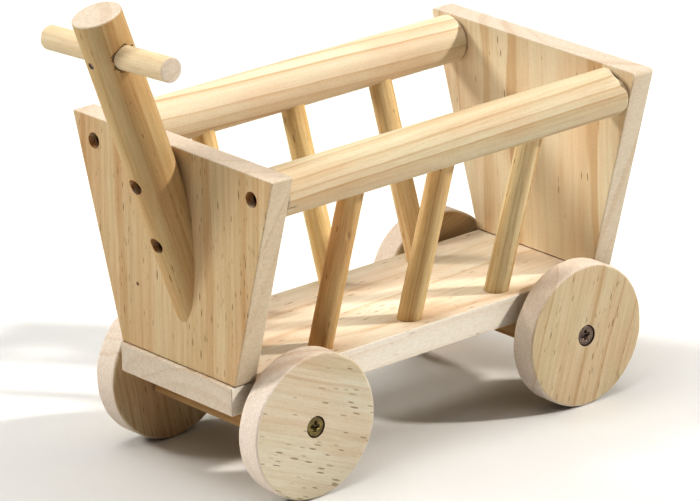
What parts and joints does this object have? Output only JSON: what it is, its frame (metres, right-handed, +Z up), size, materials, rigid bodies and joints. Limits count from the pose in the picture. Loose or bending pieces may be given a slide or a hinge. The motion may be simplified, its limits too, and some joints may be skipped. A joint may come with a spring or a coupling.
{
  "type": "toy wagon",
  "caption": "Small wooden ladder wagon: base board, flared end panels, round side rails on leaning spindles, fixed T-handle and turning disc wheels.",
  "frame": {"origin": "on the floor, in the middle of the outline", "axes": "+X forward to the handle's end, +Y to the wagon's left, +Z up; the wheels turn about Y"},
  "size_m": [0.2406, 0.1224, 0.202],
  "materials": {
    "pine_board": "raw",
    "pine_beam": "raw",
    "pine_panel": "raw",
    "pine_rail": "raw",
    "pine_spindle": "raw",
    "pine_wheel": "raw",
    "zinc_screw": "satin",
    "steel_pin": "satin"
  },
  "bodies": {
    "wagon": {"base_board": "pine_board", "front_axle_beam": "pine_beam", "rear_axle_beam": "pine_beam", "front_panel": "pine_panel", "rear_panel": "pine_panel", "left_rail": "pine_rail", "right_rail": "pine_rail", "handle_pole": "pine_rail", "handle_crossbar": "pine_rail", "left_spindle_front": "pine_spindle", "left_spindle_middle": "pine_spindle", "left_spindle_rear": "pine_spindle", "right_spindle_front": "pine_spindle", "right_spindle_middle": "pine_spindle", "right_spindle_rear": "pine_spindle", "crossbar_pin": "steel_pin", "wheel_screw_front_left": "zinc_screw", "rail_screw_front_left": "zinc_screw", "wheel_screw_front_right": "zinc_screw", "rail_screw_front_right": "zinc_screw", "front_panel_screws": "zinc_screw", "front_beam_screws": "zinc_screw", "wheel_screw_rear_left": "zinc_screw", "rail_screw_rear_left": "zinc_screw", "wheel_screw_rear_right": "zinc_screw", "rail_screw_rear_right": "zinc_screw", "rear_panel_screws": "zinc_screw", "rear_beam_screws": "zinc_screw", "handle_screw_upper": "zinc_screw", "handle_screw_lower": "zinc_screw"},
    "front_left_wheel": {"wheel_front_left": "pine_wheel"},
    "front_right_wheel": {"wheel_front_right": "pine_wheel"},
    "rear_left_wheel": {"wheel_rear_left": "pine_wheel"},
    "rear_right_wheel": {"wheel_rear_right": "pine_wheel"}
  },
  "joints": [
    {"name": "front_left_wheel_spin", "type": "hinge", "parent": "wagon", "child": "front_left_wheel", "pos_m": [0.05269, 0.0445, 0.03], "axis": [0, 1, 0], "continuous": true},
    {"name": "front_right_wheel_spin", "type": "hinge", "parent": "wagon", "child": "front_right_wheel", "pos_m": [0.05269, -0.0445, 0.03], "axis": [0, 1, 0], "continuous": true},
    {"name": "rear_left_wheel_spin", "type": "hinge", "parent": "wagon", "child": "rear_left_wheel", "pos_m": [-0.09031, 0.0445, 0.03], "axis": [0, 1, 0], "continuous": true},
    {"name": "rear_right_wheel_spin", "type": "hinge", "parent": "wagon", "child": "rear_right_wheel", "pos_m": [-0.09031, -0.0445, 0.03], "axis": [0, 1, 0], "continuous": true}
  ]
}
